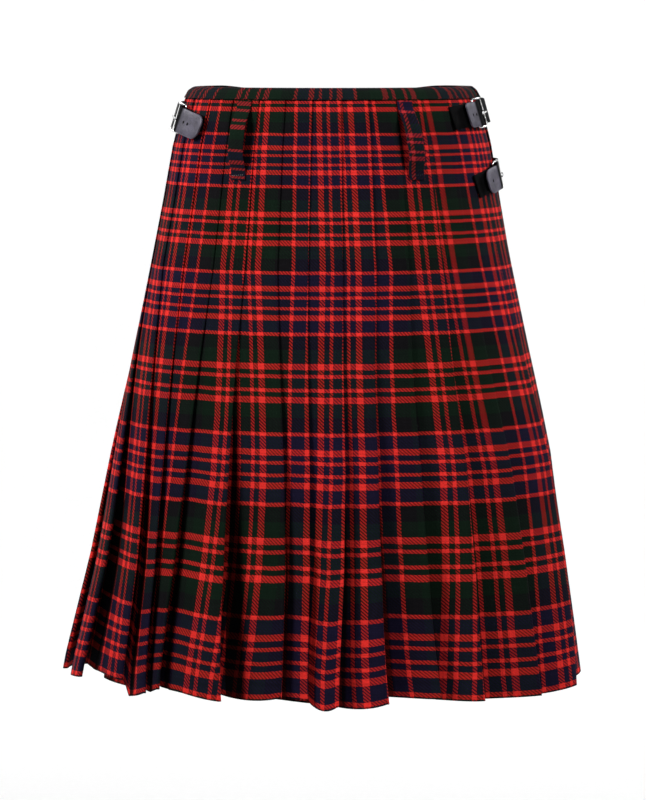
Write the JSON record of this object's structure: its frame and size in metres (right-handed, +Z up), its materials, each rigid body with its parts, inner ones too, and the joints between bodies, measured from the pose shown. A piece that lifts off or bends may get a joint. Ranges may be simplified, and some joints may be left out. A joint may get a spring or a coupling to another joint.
{
  "type": "scottish kilt",
  "caption": "Knee-length tartan kilt in its worn, hollow shape: knife pleats round the back, apron front, folded waistband, two long belt loops and three leather straps with buckles.",
  "frame": {"origin": "on the axis of the hollow, at the level of the two waist straps, where the wearer's waist holds the garment", "axes": "+Z up along the wearer's body, -Y towards the pleated back, +Y towards the wearer's front, +X towards the wearer's right"},
  "size_m": [0.5447, 0.3122, 0.6225],
  "materials": {
    "tartan": "twill-woven wool tartan of dark green, navy and black with red lines, matt",
    "leather": "black, satin",
    "steel": "bright plated"
  },
  "bodies": {
    "root": {"length_outer": "tartan", "length_under": "tartan", "waistband": "tartan", "belt_loop_left": "tartan", "belt_loop_right": "tartan", "strap_left": "leather", "tab_left": "leather", "buckle_left": "steel", "prong_left": "steel", "strap_right": "leather", "tab_right": "leather", "buckle_right": "steel", "prong_right": "steel", "strap_hip": "leather", "tab_hip": "leather", "buckle_hip": "steel", "prong_hip": "steel"}
  },
  "joints": []
}
